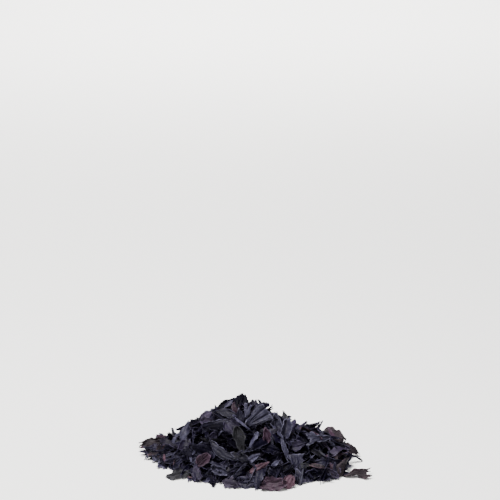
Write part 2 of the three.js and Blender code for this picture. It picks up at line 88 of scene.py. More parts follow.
# Single flakes as seen from the front: place of the middle, turn of the length from the right, size and form
SINGLES = [
    dict(
        name="dark_peak_flake", across=-5.8, up=28.6, turn=80, length=9, width=6.5, roll=15,
        finish="black", tone=0.7,
    ),
    dict(name="ridge_flake", across=-12.9, up=27.4, turn=32, length=10, width=4, roll=30, finish="black"),
    dict(
        name="dark_crown_flake", outline="fan", across=3.6, up=27.2, turn=62, length=7.5, width=6,
        notch=0.35, torn=0.3, finish="black",
    ),
    dict(
        name="pleated_fan", outline="fan", across=1, up=18.8, turn=38, length=12.5, width=10.5, out=2.2,
        pleat=0.6, torn=0.08, bend=-14, finish="pale", twist=0, cup=0.05, ripple=0.2, ribs=0.55,
    ),
    dict(
        name="forked_flake", outline="fan", across=-3.3, up=22, turn=82, length=7, width=4, notch=0.45,
        out=2, finish="pale", tone=1.1,
    ),
    dict(name="oval_flake", outline="leaf", across=-6.6, up=19.6, turn=96, length=7, width=3.4, out=1.6),
    dict(
        name="pale_sliver", outline="leaf", across=-11.7, up=25.6, turn=55, length=5.5, width=2.2,
        out=1.4, finish="pale", tone=1.6,
    ),
    dict(name="mauve_chip", across=-8.6, up=24, turn=110, length=6, width=4, finish="burgundy", tone=0.8),
    dict(
        name="crossing_strand", outline="strip", across=-5.6, up=16.2, turn=-40, length=9, width=1.2,
        out=2.2, finish="pale", tone=1.7,
    ),
    dict(name="streaked_flake", across=-13, up=21.4, turn=-25, length=10, width=4.2, roll=-20, tone=0.6),
    dict(
        name="brow_flake", across=-18, up=15.4, turn=4, length=14, width=5, roll=34, out=2, tone=0.9,
        ribs=0.55,
    ),
    dict(name="chest_flake", across=-10, up=14.6, turn=-50, length=9, width=7, finish="purple", tone=1.1),
    dict(
        name="dark_splinter", outline="strip", across=-33.2, up=17.4, turn=-8, length=9, width=1.8,
        roll=50, out=1.6, finish="black",
    ),
    dict(
        name="mauve_tuft", across=-23.6, up=20, turn=30, length=8, width=5, ripple=0.8, finish="mauve",
        tone=1.2,
    ),
    dict(
        name="mauve_fold", across=-21.6, up=16.9, turn=-24, length=7, width=4.4, ripple=0.7, cup=0.6,
        finish="mauve",
    ),
    dict(
        name="arching_flake", across=-33, up=11.4, turn=92, length=13, width=6, sway=-0.5, out=2.8,
        cup=-0.4, pleat=0.25, finish="pale", ribs=0.55,
    ),
    dict(
        name="hollow_flake", outline="leaf", across=-19.8, up=9.6, turn=60, length=6.5, width=5, out=-0.4,
        finish="purple",
    ),
    dict(
        name="left_tip_flake", across=-49.2, up=8.8, turn=190, length=11, width=5.5, torn=0.3,
        finish="brown", tone=0.9, ribs=0.9,
    ),
    dict(
        name="left_back_flake", across=-44.2, up=10.6, turn=128, length=8, width=4.6, torn=0.25,
        finish="burgundy",
    ),
    dict(
        name="left_spur", outline="leaf", across=-48, up=5.2, turn=192, length=7.5, width=3.2, torn=0.3,
        finish="purple",
    ),
    dict(
        name="pink_sliver", outline="leaf", across=-42.3, up=-0.5, turn=92, length=5, width=1.7, out=1.6,
        finish="rose", tone=1.1,
    ),
    dict(name="left_panel", across=-37, up=-1.6, turn=20, length=8, width=6, out=1.2, tone=1.5, ribs=0.55),
    dict(
        name="left_edge_splinter", outline="strip", across=-42.8, up=-3.4, turn=-58, length=7.5,
        width=1.3, finish="black",
    ),
    dict(
        name="spiked_left_flake", facing=0.5, across=-35.6, up=-8.6, turn=8, length=11, width=4.6,
        torn=0.34, finish="olive", tone=1.2, ribs=0.7,
    ),
    dict(
        name="burgundy_leaf", across=-23.2, up=-0.4, turn=42, length=7, width=5.4, out=2, cup=0.5,
        finish="burgundy", tone=0.8, ribs=0.7, rib_width=1.4,
    ),
    dict(
        name="grey_stick", outline="strip", across=-26.4, up=5, turn=52, length=7.5, width=1.2, out=1.6,
        finish="pale", tone=1.2,
    ),
    dict(name="front_left_flake", across=-26.6, up=-8, turn=100, length=7, width=4.2, finish="mauve"),
    dict(
        name="ribbed_leaf", outline="leaf", across=-6.5, up=8.4, turn=-74, length=13, width=5.2, cup=0.8,
        out=2.4, bend=-30, pleat=0.35, finish="olive", ribs=0.9, rib_width=1.2,
    ),
    dict(
        name="v_leaf", outline="leaf", across=-0.6, up=8.2, turn=-116, length=10, width=2.8, roll=40,
        out=2.4, finish="pale", tone=1.4,
    ),
    dict(
        name="crescent_leaf", outline="leaf", across=-14.6, up=2.4, turn=-34, length=16, width=4.4,
        sway=0.42, out=2, finish="pale", pleat=0.2, tone=0.4,
    ),
    dict(
        name="pale_leaf", outline="leaf", across=-0.7, up=0.2, turn=32, length=7.5, width=3, out=2,
        finish="pale", tone=1.9,
    ),
    dict(
        name="rose_leaf", outline="leaf", across=1.8, up=-4.2, turn=27, length=10.5, width=3.4, out=2,
        finish="rose", tone=0.85, ribs=0.6,
    ),
    dict(name="long_stick", outline="strip", across=-5.6, up=-4.2, turn=46, length=10, width=1.2, out=1.8),
    dict(name="front_slate_leaf", across=-2.8, up=-10.8, turn=2, length=13, width=6, pleat=0.25, tone=1.3),
    dict(
        name="front_spur", facing=0.5, across=-10.8, up=-12.6, turn=-20, length=8, width=5, torn=0.32,
        finish="mauve", tone=0.8,
    ),
    dict(
        name="front_red_leaf", across=8.8, up=-13.2, turn=5, length=11, width=6.4, torn=0.24,
        finish="burgundy",
    ),
    dict(
        name="front_rose_leaf", facing=0.6, across=16, up=-12.8, turn=62, length=7, width=5.4,
        finish="rose", tone=1.2,
    ),
    dict(
        name="bright_chip", outline="leaf", across=9.8, up=-2.2, turn=35, length=4.5, width=2, out=2,
        finish="pale", tone=1.6,
    ),
    dict(name="green_black_leaf", across=7.4, up=4.6, turn=-12, length=8, width=5, finish="black"),
    dict(
        name="curled_burgundy", outline="leaf", across=5.4, up=10.6, turn=100, length=6.5, width=3.8, cup=1,
        out=2, finish="burgundy", tone=1.4,
    ),
    dict(
        name="frizzled_flake", across=-16, up=-5.6, turn=-20, length=8.5, width=4, ripple=0.9, cup=0.5,
        out=1.6, finish="pale", tone=0.8,
    ),
    dict(
        name="s_blade", outline="strip", across=14, up=4, turn=-76, length=12.5, width=2.4, sway=0.2,
        out=2.4, finish="pale", tone=0.9,
    ),
    dict(
        name="tall_dusty_flake", out=2.4, across=14.6, up=20.4, turn=84, length=8, width=4, torn=0.22,
        finish="olive", tone=2.2,
    ),
    dict(
        name="folded_flake", across=14.6, up=13.6, turn=80, length=10, width=5, cup=0.7, out=1.8,
        pleat=0.3, finish="pale", tone=0.85, ribs=0.55,
    ),
    dict(
        name="purple_streak", outline="leaf", across=18, up=15, turn=68, length=9.5, width=3, roll=18,
        out=2.2, finish="purple", tone=1.6,
    ),
    dict(
        name="purple_shred", outline="leaf", across=22.4, up=14.6, turn=60, length=9, width=3, roll=-14,
        out=2.2, finish="purple", tone=1.5,
    ),
    dict(
        name="antler_flake", outline="fan", across=29.6, up=9, turn=190, length=12, width=6.4, notch=0.4,
        torn=0.34, out=2.6, finish="pale", ribs=0.55,
    ),
    dict(
        name="red_tipped_flake", across=38, up=11.8, turn=-14, length=11, width=7.4, torn=0.28, out=2.6,
        finish="brown", tone=1.4, ribs=0.6,
    ),
    dict(
        name="dark_oval_leaf", outline="leaf", across=20.2, up=6.2, turn=15, length=7.6, width=5.4,
        finish="purple",
    ),
    dict(
        name="wedge_flake", outline="wedge", across=20, up=-3, turn=-82, length=11, width=9, out=2,
        pleat=0.3, ribs=0.25,
    ),
    dict(
        name="green_chip", outline="leaf", across=23, up=-3.2, turn=2, length=6, width=2.2, out=1.4,
        finish="olive", tone=1.9,
    ),
    dict(
        name="curled_ring", outline="strip", across=31, up=-1.8, turn=10, length=10, width=2.6, bend=-210,
        twist=0, out=2.4,
    ),
    dict(
        name="hooked_strand", outline="strip", across=47, up=0.6, turn=-8, length=9.5, width=1.5,
        sway=-0.3, out=2, finish="black",
    ),
    dict(
        name="right_tip_flake", outline="fan", facing=0.25, across=47.8, up=-8.2, turn=6, length=11.5,
        width=6, torn=0.36, notch=0.2, out=0.2, finish="brown", ribs=0.7,
    ),
    dict(name="mauve_low_flake", across=35.4, up=-6.6, turn=-22, length=8.5, width=3.6, finish="mauve"),
    dict(
        name="right_shoulder_flake", across=46.4, up=5, turn=-35, length=8, width=4.6, torn=0.26,
        finish="brown",
    ),
    dict(
        name="upright_flake", across=9.8, up=16, turn=97, length=10, width=4.6, cup=0.6, out=2,
        finish="pale", tone=0.8, ribs=0.55,
    ),
    dict(
        name="slanting_strand", outline="strip", across=9.8, up=12.7, turn=-52, length=9, width=1.2,
        out=3, finish="pale", tone=1.2,
    ),
]

# Dark flakes behind the crest that close it between the single ones, and a red spike at its right end
CREST_FLAKES = [
    dict(name="crest_flake", across=-10, up=25.4, turn=30, length=7, width=4.5, out=-0.6, finish="black"),
    dict(
        name="violet_crest_flake", across=-0.4, up=25.6, turn=76, length=7, width=5.5, out=-0.4,
        torn=0.3, finish="purple",
    ),
    dict(
        name="brow_crest_flake", across=-19, up=22.2, turn=36, length=8, width=4.5, out=-0.4,
        finish="black",
    ),
    dict(
        name="left_crest_flake", across=-41, up=12.4, turn=24, length=8, width=4.5, out=-1.4, torn=0.3,
        finish="black",
    ),
    dict(
        name="red_crest_spike", outline="leaf", across=36.6, up=15, turn=102, length=6.5, width=2.2, out=2,
        finish="burgundy", tone=1.7,
    ),
]

# Dark hollows between the flakes at the front: middle across and up, and half sizes
HOLLOWS = [
    (-28, 10.4, 3.6, 4.4), (-23, 8.5, 3.4, 4.2), (-15.4, 9.8, 4, 2.7), (-9, 4.8, 3.6, 2.4),
    (0.4, 14.6, 4, 2.5), (2.6, 10.6, 2.4, 2.4), (9.6, 9, 2.2, 2.8), (10.6, 5, 2.4, 2.4),
    (-2, -5.3, 2.8, 2), (5.6, -5.6, 5, 2.2), (14, 0, 3.4, 2.6), (25.6, 3.6, 5.4, 2.6),
    (23.4, -1.2, 2.6, 1.2), (-33, 4, 2.4, 1.6), (34, 4, 3, 1.8),
]

FLAKE_THICKNESS = 0.24
SHRED_THICKNESS = 0.2
TEETH = 13  # torn teeth along one edge of a flake
RIBS = 0.4
RIB_WIDTH = 2.4
FINE_RIB_WIDTH = 1.7  # on the single flakes
STRAY_FLAKES = 190
SHREDS = 1150
THREADS = 110
STRANDS = 46
UNDER_FLAKES = 150

# Small shreds are copies of a few modelled ones
TEMPLATES = 18
TEMPLATE_LENGTH = 6
TEMPLATE_WIDTH = 3.1
SHRED_WAVES = (0.22, 0.22, 0.3)  # how far a copy is crumpled along x, y and z

# Grid steps across and along a flake, and how much of the torn and crumpled detail it shows
BED_GRID = (11, 13)
STRAY_GRID = (7, 10)
STRAND_GRID = (2, 16)
SHRED_GRID = (3, 5)
SINGLE_DETAIL = 0.75
STRAND_DETAIL = 0.5
SHRED_DETAIL = 0.6

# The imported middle
CORE_UNDER = 0.6
CORE_INSET = 1.5
CORE_COVER = 1.6
DEEPEST_HOLLOW = 6.0
FOLDS = ((6, 2.2), (2.2, 1.1))  # size and height

# How high the flakes pressed against the table lie
UNDER_FROM = 0.02
UNDER_TO = 1.1

# Seeds of the draws. The bed's is that of the solids.
BED_SEED = 20251
STRAY_SEED = 640
TEMPLATE_SEED = 411
TONE_SEED = 902
FINISH_SEED = 5150
SHRED_SEED = 31337

# Shares of the finishes among the many flakes
MANY = [
    ("slate", 0.34), ("black", 0.28), ("purple", 0.16), ("pale", 0.12), ("mauve", 0.05), ("brown", 0.03),
    ("burgundy", 0.02),
]

# Colours: the middle tone, then the darker and the lighter cloud in it, and the roughness
FINISHES = {
    "slate": ((0.0085, 0.0073, 0.0178), (0.004, 0.003, 0.01), (0.019, 0.0168, 0.035), 0.5),
    "pale": ((0.024, 0.0226, 0.041), (0.012, 0.0098, 0.023), (0.046, 0.0435, 0.073), 0.48),
    "black": ((0.0016, 0.0009, 0.0056), (0.0008, 0.0004, 0.0036), (0.0048, 0.0036, 0.013), 0.52),
    "purple": ((0.010, 0.0073, 0.0185), (0.004, 0.0029, 0.0095), (0.022, 0.0168, 0.037), 0.5),
    "mauve": ((0.023, 0.0168, 0.033), (0.010, 0.007, 0.017), (0.043, 0.034, 0.062), 0.52),
    "burgundy": ((0.024, 0.012, 0.022), (0.010, 0.0045, 0.009), (0.050, 0.028, 0.044), 0.48),
    "rose": ((0.056, 0.028, 0.042), (0.026, 0.011, 0.019), (0.095, 0.055, 0.075), 0.48),
    "brown": ((0.018, 0.013, 0.017), (0.0075, 0.005, 0.0075), (0.037, 0.029, 0.035), 0.56),
    "olive": ((0.014, 0.014, 0.017), (0.0065, 0.006, 0.008), (0.031, 0.031, 0.036), 0.56),
}

# How much lighter the painted highlight on the edge of a finish is, where it isn't the usual
EDGE_HIGHLIGHTS = {
    "slate": (0.05, 0.048, 0.064), "black": (0.036, 0.034, 0.048), "pale": (0.05, 0.048, 0.062),
    "brown": (0.034, 0.012, 0.018), "olive": (0.004, 0.004, 0.008),
}
USUAL_EDGE_HIGHLIGHT = (0.022, 0.02, 0.028)
SALT = (0.13, 0.125, 0.15)


class Draw:
    """Seeded numbers between low and high, drawn in the way that the solids draw theirs."""

    def __init__(self, seed):
        self.drawn = seed

    def __call__(self, low, high):
        self.drawn = (self.drawn * 1664525 + 1013904223) % 4294967296
        return low + (high - low) * (self.drawn / 4294967296)


# The heap's form

def heap_height(x, y):
    total = 0.0
    for m in MOUNDS:
        reach = math.hypot((x - m["x"]) / m["along_x"], (y + SKEW * x - m["y"]) / m["along_y"])
        total += max(0.0, m["height"] * (1 - reach ** FLANK)) ** BLEND
    return total ** (1 / BLEND)


def heap_normal(x, y):
    step = 1.5
    slope_x = (heap_height(x + step, y) - heap_height(x - step, y)) / (2 * step)
    slope_y = (heap_height(x, y + step) - heap_height(x, y - step)) / (2 * step)
    return Vector((-slope_x, -slope_y, 1)).normalized()


def heap_angle(share):
    """The direction from the middle at a share of the way round the oval heap."""
    turn = 2 * math.pi * share
    return math.atan2(ALONG_Y * math.sin(turn), ALONG_X * math.cos(turn))


def heap_reach(angle):
    """How far out the heap's rim is in a direction, found by halving."""
    near, far = 5.0, 80.0
    for _ in range(30):
        middle = (near + far) / 2
        if heap_height(middle * math.cos(angle), middle * math.sin(angle)) > RIM_HEIGHT:
            near = middle
        else:
            far = middle
    return near


def grain(x, y):
    """The heading that small flakes near a place share: down the slope, with slow turns."""
    slope = heap_normal(x, y)
    place = Vector((x / GRAIN_SIZE, y / GRAIN_SIZE, 4.7))
    return math.atan2(slope.y, slope.x) + GRAIN_TURN * noise.noise(place)


def spiral_place(i, count, stretch=1.0):
    """Even places over the heap, on a sunflower's spiral."""
    angle = heap_angle(i * (3 - math.sqrt(5)) / 2)
    r = math.sqrt((i + 0.5) / count) * heap_reach(angle) * stretch
    return r * math.cos(angle), r * math.sin(angle)


def rim_place(i, count):
    angle = heap_angle((i + 0.5) / count)
    r = 0.99 * heap_reach(angle)
    return r * math.cos(angle), r * math.sin(angle)


RIGHT = Vector((1, 0, 0))
UPWARD = Vector((0, math.sin(SIGHT_ELEVATION), math.cos(SIGHT_ELEVATION)))
TO_VIEWER = RIGHT.cross(UPWARD)


def seen_place(across, up):
    """The place seen from the front at across and up: on the heap, its crest or the table before it."""
    place = RIGHT * across + UPWARD * up + TO_VIEWER * SIGHT_START
    crest = None
    depth = -CREST_MISS
    while place.z > 0:
        height = heap_height(place.x, place.y)
        if height > CORE_DEPTH and height - place.z > depth:
            crest = place.copy()
            crest.z = min(crest.z, height + CREST_RISE)
            depth = height - place.z
        if depth > 0:
            break
        place = place - TO_VIEWER * SIGHT_STEP
    return crest or place


def in_hollow(place, grown):
    """Whether the place lies in one of the front's dark hollows, once each is grown by a factor."""
    if heap_normal(place.x, place.y).dot(TO_VIEWER) < 0:
        return False
    across, up = place.dot(RIGHT), place.dot(UPWARD)
    return any(((across - a) / w) ** 2 + ((up - b) / h) ** 2 < grown ** 2 for a, b, w, h in HOLLOWS)


def on_single(place, singles, grown=1.0):
    """Whether the place lies on one of the single flakes, which stay in full view. Grown is by area."""
    for f in singles:
        d = place - f["middle"]
        along = d.dot(f["axis"]) / (f["length"] / 2)
        across = d.dot(f["side"]) / (f["width"] / 2 + 0.4)
        if along * along + across * across < grown and d.dot(TO_VIEWER) > -1.5:
            return True
    return False


def in_gap(x, y):
    """Whether a place is in the gap at the front of the right end, where bare table shows."""
    return x > GAP_FROM and y < GAP_BEFORE


# Where each flake lies

def laid(face, heading, lift, roll):
    """The three directions of a flake that points along the heading, lifts its tip and rolls to a side."""
    axis = (heading - face * heading.dot(face)).normalized()
    side = face.cross(axis)
    lifted = Matrix.Rotation(-math.radians(lift), 3, side)
    axis, face = lifted @ axis, lifted @ face
    rolled = Matrix.Rotation(math.radians(roll), 3, axis)
    return dict(axis=axis, side=rolled @ side, face=rolled @ face)


def single_flake(given, order):
    f = dict(USUAL, phase=1.7 * order, rib_width=FINE_RIB_WIDTH)
    f.update(given)
    place = seen_place(f["across"], f["up"])
    slope = heap_normal(place.x, place.y)
    face = (slope + TO_VIEWER * f["facing"]).normalized()
    turn = math.radians(f["turn"])
    heading = RIGHT * math.cos(turn) + UPWARD * math.sin(turn)
    f.update(laid(face, heading, f["lean"], f["roll"]), middle=place + (slope + TO_VIEWER) * (f["out"] / 2))
    return f


def rooted_flake(x, y, shape):
    """A flake rooted in the slope at x, y, with its tip lifted out of it."""
    slope = heap_normal(x, y)
    heading = Vector((math.cos(shape["heading"]), math.sin(shape["heading"]), 0))
    out = math.sin(math.radians(shape["lift"])) * shape["length"] / 2 - shape["sunk"]
    middle = Vector((x, y, heap_height(x, y))) + slope * out
    return dict(shape, middle=middle, **laid(slope, heading, shape["lift"], shape["roll"]))


def bed_flakes(singles):
    """The larger flakes that make up the heap, with the same draws as the solids."""
    draw = Draw(BED_SEED)
    forms = ["blade", "leaf", "fan", "blade", "leaf"]
    made = []
    for i in range(BED_FLAKES + RIM_FLAKES):
        on_rim = i >= BED_FLAKES
        x, y = rim_place(i - BED_FLAKES, RIM_FLAKES) if on_rim else spiral_place(i, BED_FLAKES)
        shape = dict(
            outline=forms[i % len(forms)],
            length=draw(9, 15) * (RIM_SIZE if on_rim else 1),
            width=draw(3.8, 7) * (RIM_SIZE if on_rim else 1),
            heading=math.atan2(y, x) + draw(-1.9, 1.9) * (0.5 if on_rim else 1),
            lift=draw(6, 32) * (0.4 if on_rim else 1),
            roll=draw(-26, 26),
            sunk=draw(1.2, 2),
            bend=draw(-60, 30),
            twist=draw(-40, 40),
            cup=draw(-0.35, 0.45),
            sway=draw(-0.35, 0.35),
            torn=draw(0.12, 0.3),
            notch=0,
            ripple=draw(0.2, 0.7),
            pleat=0,
            phase=draw(0, 6),
        )
        flake = rooted_flake(x, y, shape)
        spacing = BED_SPACING / 2 if on_rim else BED_SPACING
        if any((f["middle"] - flake["middle"]).length < spacing for f in singles) or in_gap(x, y):
            continue
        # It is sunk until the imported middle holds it
        for _ in range(8):
            if held_share(flake) > HELD:
                break
            flake["middle"] = flake["middle"] - heap_normal(x, y) * 0.5
        if not in_hollow(flake["middle"], grown=0.8):
            made.append(flake)
    return made


def stray_flakes(singles):
    """Smaller flakes strewn between the larger ones."""
    draw = Draw(STRAY_SEED)
    forms = ["leaf", "blade", "strip", "leaf", "fan", "wedge"]
    made = []
    for i in range(STRAY_FLAKES):
        x, y = spiral_place(i + 0.37, STRAY_FLAKES)
        form = forms[i % len(forms)]
        shape = dict(
            outline=form, length=draw(7, 13), width=draw(1.6, 2.6) if form == "strip" else draw(2.8, 5.4),
            heading=grain(x, y) + draw(-1.1, 1.1), lift=draw(0, 34), roll=draw(-38, 38),
            sunk=draw(-0.2, 1.4), bend=draw(-80, 40), twist=draw(-60, 60), cup=draw(-0.4, 0.6),
            sway=draw(-0.4, 0.4), torn=draw(0.14, 0.32), notch=0, ripple=draw(0.2, 0.6), pleat=0,
            phase=draw(0, 6),
        )
        flake = rooted_flake(x, y, shape)
        middle, tip = flake["middle"], sheet_point(flake, 0, 1)
        covers = on_single(middle, singles, grown=1.5) or on_single(tip, singles)
        if not (covers or in_hollow(middle, grown=0.9) or in_gap(x, y)):
            made.append(flake)
    return made


def held_share(f):
    """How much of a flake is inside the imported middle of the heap."""
    held = 0
    for j in range(5):
        for i in range(5):
            p = sheet_point(f, -1 + i / 2, j / 4)
            held += p.z < heap_height(p.x, p.y) - CORE_DEPTH
    return held / 25


# The sheet of a flake

OUTLINES = {
    "blade": lambda v: 0.3 + 0.7 * math.sin(math.pi * v ** 0.85) ** 0.8 if 0 < v < 1 else 0.3,
    "leaf": lambda v: 0.12 + 0.88 * math.sin(math.pi * v ** 0.8) ** 0.9 if 0 < v < 1 else 0.12,
    "strip": lambda v: 0.5 + 0.5 * math.sin(math.pi * v),
    "fan": lambda v: 0.14 + 0.86 * v ** 0.8,
    "wedge": lambda v: 1 - 0.82 * v ** 0.7,
}


def wander(t, phase):
    return 0.6 * math.sin(7.3 * t + phase) + 0.4 * math.sin(16.1 * t + 2.3 * phase)


def tooth(t, phase):
    """A jagged line between -1 and 1, as along a torn edge."""
    whole = math.floor(t)
    low, high = (math.sin(12.9898 * (whole + k) + 78.233 * phase) * 437.5453 % 2 - 1 for k in (0, 1))
    return low + (high - low) * (t - whole)


def sheet_point(f, u, v, fine=0.0):
    """A point of a flake's sheet, for u from -1 to 1 across it and v from 0 at its root to 1 at its tip.

    Fine is 0 for the plain sheet of the solids, and 1 with torn teeth, crumples and a curled edge.
    """
    side = (u > 0) - (u < 0)
    torn = 1 + f["torn"] * wander(v * 1.3, f["phase"] + 2.1 * side) if side else 1
    teeth = fine * (0.04 + 0.7 * f["torn"])
    torn += teeth * tooth(TEETH * v, f["phase"] + side) * abs(u) ** 3
    half_width = f["width"] / 2 * OUTLINES[f["outline"]](v) * torn
    notch = f["notch"] * math.exp(-((u / 0.35) ** 2))
    reach = 1 + f["torn"] * 0.7 * wander(u * 0.9, f["phase"] + 5) - notch
    reach += 0.8 * teeth * tooth(3.1 * u, f["phase"] + 3)
    root = 1 + 0.5 * teeth * tooth(2.6 * u, f["phase"] + 9)
    along = (v - 0.5) * f["length"] * (reach if v > 0.5 else root)
    across = u * half_width + f["sway"] * f["length"] * (v - 0.5) ** 2
    ripple = f["ripple"] * math.sin(5.2 * v + f["phase"] + 1.4 * u) * (0.35 + 0.65 * u * u)
    pleat = f["pleat"] * math.cos(math.pi * 3 * u) * v
    rise = f["cup"] * u * u * f["width"] / 2 + ripple + pleat
    if fine:
        rise += fine * crumple(f, u, v, along, across)
    turn = math.radians(f["twist"]) * (v - 0.5)
    turned = across * math.cos(turn) - rise * math.sin(turn)
    lifted = across * math.sin(turn) + rise * math.cos(turn)
    bend = math.radians(f["bend"]) or 1e-6
    angle = bend * along / f["length"]
    radius = f["length"] / bend
    arc_along = (radius - lifted) * math.sin(angle)
    arc_up = radius - (radius - lifted) * math.cos(angle)
    return f["middle"] + f["axis"] * arc_along + f["side"] * turned + f["face"] * arc_up


def crumple(f, u, v, along, across):
    """A crease and ribs along the flake, soft dents and a curled edge, in millimetres."""
    phase = f["phase"]
    spot = Vector((across * 0.4, along * 0.13, 3.7 * phase))
    dents = noise.noise(spot)
    creases = 0.25 - abs(noise.noise(spot * 2.1 + Vector((9, 4, 1))))
    slant = 0.3 * math.sin(3.1 * phase) + 0.35 * math.sin(1.7 * phase) * (v - 0.5)
    fold = (0.25 - abs(u - slant)) * f["width"] / 2 * (0.22 + 0.4 * math.sin(2.3 * phase))
    rib = (u * f["width"] + 0.5 * math.sin(0.4 * along + phase)) / f.get("rib_width", RIB_WIDTH)
    ribs = abs((rib + phase) % 2 - 1) - 0.5
    edge = max(0.0, abs(u) - 0.5) * 2
    curl = noise.noise(Vector((along * 0.2, 5.1 * phase, u)))
    curled = 1.7 * curl * edge * edge * min(1.0, f["width"] / 6)
    return 0.7 * dents + 0.8 * creases + fold + f.get("ribs", RIBS) * ribs + curled


# Flakes as meshes

def single_grid(f):
    """Grid steps across and along a single flake, closer across it for the sake of its ribs."""
    return max(7, round(2.8 * f["width"])), max(10, round(1.6 * f["length"]))


def add_flake(f, across_steps, along_steps, thickness, fine=1.0):
    """A grid laid on the flake's sheet, then given its thickness."""
    bpy.ops.object.select_all(action="DESELECT")
    bpy.ops.mesh.primitive_grid_add(x_subdivisions=across_steps, y_subdivisions=along_steps, size=2)
    flake = bpy.context.object
    mesh = flake.data
    mesh.uv_layers[0].name = "OFBake"
    vein = mesh.attributes.new("vein", "FLOAT_VECTOR", "POINT")
    edge = mesh.attributes.new("edge", "FLOAT", "POINT")
    for k, vertex in enumerate(mesh.vertices):
        u, v = vertex.co.x, (vertex.co.y + 1) / 2
        vein.data[k].vector = (u * f["width"] / 2, v * f["length"], f["phase"])
        edge.data[k].value = max(abs(u), abs(2 * v - 1))
        vertex.co = sheet_point(f, u, v, fine) * MM
    wall = flake.modifiers.new("wall", "SOLIDIFY")
    wall.thickness = thickness * MM
    wall.offset = 0
    bpy.ops.object.modifier_apply(modifier="wall")
    part_faces(mesh, across_steps * along_steps)
    bpy.ops.object.shade_smooth_by_angle(angle=math.radians(48))
    return flake


def part_faces(mesh, count):
    """Gives a flake's upper and under side a half each of its square of the baking map."""
    uv = mesh.uv_layers["OFBake"].data
    for polygon in mesh.polygons:
        shift = 0.5 if count <= polygon.index < 2 * count else 0.0
        for loop in polygon.loop_indices:
            x, y = uv[loop].uv
            uv[loop].uv = (0.02 + 0.46 * x + shift, 0.02 + 0.96 * y)


def places_of(mesh):
    co = np.empty(3 * len(mesh.vertices), dtype=np.float32)
    mesh.vertices.foreach_get("co", co)
    return co.reshape(-1, 3)


def keep_off_table(mesh):
    """Lifts a flake that would reach into the table."""
    co = places_of(mesh)
    lowest = co[:, 2].min()
    if lowest < TABLE_GAP * MM:
        co[:, 2] += TABLE_GAP * MM - lowest
        mesh.vertices.foreach_set("co", co.ravel())


def give_tone(mesh, tone):
    """One lightness for the whole flake."""
    attribute = mesh.attributes.new("tone", "FLOAT", "POINT")
    attribute.data.foreach_set("value", np.full(len(mesh.vertices), tone, dtype=np.float32))


def join_flakes(name, flakes):
    """Makes one piece of many flakes, each with its own square of the baking map."""
    across = math.ceil(math.sqrt(len(flakes)))
    for i, flake in enumerate(flakes):
        layer = flake.data.uv_layers["OFBake"].data
        uv = np.empty(2 * len(layer), dtype=np.float32)
        layer.foreach_get("uv", uv)
        uv = (uv.reshape(-1, 2) + (i % across, i // across)) / across
        layer.foreach_set("uv", uv.ravel().astype(np.float32))
    bpy.ops.object.select_all(action="DESELECT")
    for flake in flakes:
        flake.select_set(True)
    bpy.context.view_layer.objects.active = flakes[0]
    if len(flakes) > 1:
        bpy.ops.object.join()
    piece = bpy.context.object
    piece.name = name
    piece.data.name = name
    return piece


# Small shreds: a few are modelled, and each copy is stretched, laid and crumpled on its own

def shred_templates():
    draw = Draw(TEMPLATE_SEED)
    forms = ["leaf", "blade", "strip", "fan", "wedge", "blade"]
    made = []
    for i in range(TEMPLATES):
        f = dict(
            outline=forms[i % len(forms)], length=TEMPLATE_LENGTH, width=draw(2.2, 4), bend=draw(-80, 60),
            twist=draw(-60, 60), cup=draw(-0.5, 0.7), sway=draw(-0.4, 0.4), torn=draw(0.2, 0.4),
            notch=draw(0, 0.3) if i % 3 == 0 else 0, ripple=draw(0.1, 0.4), pleat=0, phase=draw(0, 6),
            middle=Vector(), axis=Vector((0, 1, 0)), side=Vector((1, 0, 0)), face=Vector((0, 0, 1)),
        )
        shred = add_flake(f, *SHRED_GRID, SHRED_THICKNESS, SHRED_DETAIL)
        shred.name = f"shred_template_{i}"
        made.append(shred)
    return made


def copy_shred(template, f, draw):
    """A copy of a template with its own mesh, at the place and in the size of f."""
    mesh = template.data.copy()
    co = places_of(mesh).astype(np.float64) / MM
    co *= np.array([f["width"] / TEMPLATE_WIDTH, f["length"] / TEMPLATE_LENGTH, draw(0.8, 1.5)])
    co = co @ np.array([f["side"], f["axis"], f["face"]]) + np.array(f["middle"])
    for k, reach in enumerate(SHRED_WAVES):
        co[:, k] += reach * np.sin(1.9 * co[:, (k + 1) % 3] + 2.6 * co[:, (k + 2) % 3] + f["phase"])
    mesh.vertices.foreach_set("co", (co * MM).astype(np.float32).ravel())
    keep_off_table(mesh)
    shred = bpy.data.objects.new("shred", mesh)
    bpy.context.collection.objects.link(shred)
    return shred


def shred_shape(draw, along):
    small = draw(0, 1)
    strand = draw(0, 1) < 0.5
    return dict(
        length=5 + 8 * small if strand else 3.2 + 6 * small * small,
        width=0.8 + 1.5 * small if strand else 1.3 + 3 * small * draw(0.4, 1),
        heading=along + draw(-1, 1) * (0.8 if strand else 1.6),
        lift=draw(-15, 24),
        roll=draw(-45, 45),
        sunk=draw(0, 2.6),
        phase=draw(0, 6),
    )


def strand_shape(draw, along):
    """A long narrow blade that curves over its neighbours."""
    return dict(
        outline="strip", length=draw(10, 17), width=draw(0.8, 1.7), heading=along + draw(-0.9, 0.9),
        lift=draw(-4, 12), roll=draw(-30, 30), sunk=draw(-1, 0.2), bend=draw(-90, -20), twist=draw(-70, 70),
        cup=0.5, sway=draw(-0.7, 0.7), torn=0.2, notch=0, ripple=0.4, pleat=0, phase=draw(0, 6),
    )


def thread_shape(draw, along):
    return dict(
        length=draw(5, 11), width=draw(0.35, 0.7), heading=along + draw(-0.9, 0.9), lift=draw(-6, 20),
        roll=draw(-40, 40), sunk=draw(-1.2, 0.2), phase=draw(0, 6),
    )


